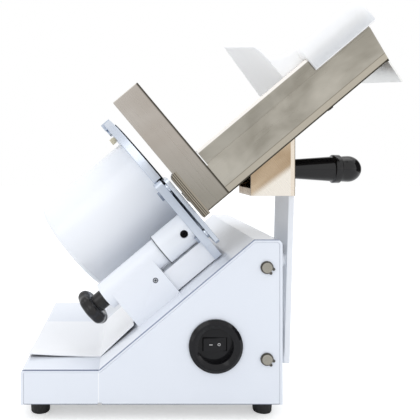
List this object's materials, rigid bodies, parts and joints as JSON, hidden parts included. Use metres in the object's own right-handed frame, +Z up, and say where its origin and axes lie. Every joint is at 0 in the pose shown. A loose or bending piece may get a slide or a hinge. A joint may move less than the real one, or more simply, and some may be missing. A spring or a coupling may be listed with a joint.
{
  "type": "electric meat slicer",
  "caption": "Gravity-feed slicer: tilted round blade in a ring guard, sliding food tray with pusher and handle, thickness knob and gauge plate, white motor drum on a wedge base.",
  "frame": {"origin": "bottom centre of the whole object's bounding box at rest, on the table under its feet", "axes": "+X from the low end with the knob towards the handle end, +Y from the operator's side to the back along the carriage's travel, +Z up"},
  "size_m": [0.4268, 0.3418, 0.4733],
  "materials": {
    "white_enamel": "glossy white enamel",
    "stainless": "brushed stainless sheet",
    "blade_steel": "ground and polished steel",
    "zinc_steel": "zinc-plated fasteners",
    "ground_steel": "ground rod and shaft steel",
    "cast_aluminium": "cast and polished aluminium",
    "black_plastic": "glossy black moulding",
    "white_plastic": "glossy white moulding",
    "ivory_plastic": "ivory moulding",
    "rubber": "soft black rubber",
    "copper": "lacquered copper windings",
    "gear_steel": "machined gear steel",
    "lamination": "laminated core steel",
    "bronze": "sintered bronze"
  },
  "bodies": {
    "base": {"base_shell": "white_enamel", "base_side_near": "white_enamel", "base_side_far": "white_enamel", "bottom_plate": "stainless", "rubber_feet": "rubber", "foot_screws": "zinc_steel", "slide_rods": "ground_steel", "rod_clips": "zinc_steel", "switch_bezel": "black_plastic", "switch_body": "black_plastic", "motor_housing": "white_enamel", "slope_bolts": "zinc_steel", "motor_end_cap": "white_enamel", "motor_bolts": "zinc_steel", "motor_plate": "cast_aluminium", "rotor_bearings": "ground_steel", "motor_stator": "lamination", "stator_windings": "copper", "gearbox_plate": "cast_aluminium", "blade_bearing": "ground_steel", "ring_guard": "cast_aluminium", "ring_screws": "zinc_steel", "run_capacitor": "cast_aluminium", "cable_gland": "black_plastic", "gland_nut": "black_plastic", "adjuster_block": "white_enamel", "roll_pin": "zinc_steel"},
    "carriage": {"bearing_block": "cast_aluminium", "slide_bushes": "bronze", "guide_fork": "black_plastic", "carriage_arm": "white_enamel", "arm_screws": "zinc_steel", "tray_bracket": "stainless", "bracket_bolts": "zinc_steel", "carriage_handle": "black_plastic", "handle_stud": "zinc_steel", "food_tray": "stainless", "tray_stop_bolt": "black_plastic", "fence_plate": "stainless", "fence_strip": "cast_aluminium"},
    "pusher": {"food_pusher": "white_plastic"},
    "blade": {"blade": "blade_steel", "hub_cover": "stainless", "blade_screws": "zinc_steel", "blade_shaft": "ground_steel", "blade_gear": "gear_steel"},
    "layshaft": {"layshaft": "gear_steel"},
    "rotor": {"motor_rotor": "lamination"},
    "knob": {"thickness_knob": "black_plastic", "knob_screw": "zinc_steel", "adjuster_spindle": "ground_steel"},
    "gauge": {"gauge_boss": "white_enamel", "grub_screw": "zinc_steel", "slide_bar": "white_enamel", "gauge_carrier": "white_enamel", "gauge_plate": "cast_aluminium", "gauge_screws": "zinc_steel"},
    "rocker": {"rocker_switch": "black_plastic"},
    "thumb": {"thumb_screw": "ivory_plastic"},
    "receiver": {"receiving_sheet": "white_enamel"}
  },
  "joints": [
    {"name": "carriage_slide", "type": "slide", "parent": "base", "child": "carriage", "axis": [0, 1, 0], "range_m": [0, 0.19]},
    {"name": "pusher_slide", "type": "slide", "parent": "carriage", "child": "pusher", "axis": [-0.766, 0, -0.6428], "range_m": [0, 0.156]},
    {"name": "blade_spin", "type": "hinge", "parent": "base", "child": "blade", "pos_m": [-0.0439, 0.0219, 0.27555], "axis": [0.766, 0, 0.6428], "continuous": true},
    {"name": "layshaft_spin", "type": "hinge", "parent": "base", "child": "layshaft", "pos_m": [-0.12615, 0.0219, 0.25222], "axis": [0.766, 0, 0.6428], "continuous": true},
    {"name": "rotor_spin", "type": "hinge", "parent": "base", "child": "rotor", "pos_m": [-0.14425, 0.0219, 0.19134], "axis": [0.766, 0, 0.6428], "continuous": true},
    {"name": "knob_turn", "type": "hinge", "parent": "base", "child": "knob", "pos_m": [-0.13962, -0.0901, 0.11116], "axis": [0.766, 0, 0.6428], "range_deg": [0, 1080]},
    {"name": "gauge_slide", "type": "slide", "parent": "base", "child": "gauge", "axis": [-0.766, 0, -0.6428], "range_m": [0, 0.012]},
    {"name": "rocker_tilt", "type": "hinge", "parent": "base", "child": "rocker", "pos_m": [0.01063, -0.1356, 0.0856], "axis": [0, 0, -1], "range_deg": [0, 12]},
    {"name": "thumb_turn", "type": "hinge", "parent": "base", "child": "thumb", "pos_m": [-0.10721, 0.0219, 0.33077], "axis": [0.766, 0, 0.6428], "range_deg": [0, 360]},
    {"name": "receiver_slide", "type": "slide", "parent": "base", "child": "receiver", "axis": [-1, 0, 0], "range_m": [0, 0.1]}
  ],
  "couplings": [
    {"joint": "layshaft_spin", "follows": "blade_spin", "ratio": -2.1111},
    {"joint": "rotor_spin", "follows": "blade_spin", "ratio": 6.3333},
    {"joint": "knob_turn", "follows": "gauge_slide", "rad_per_m": 1570.8}
  ]
}
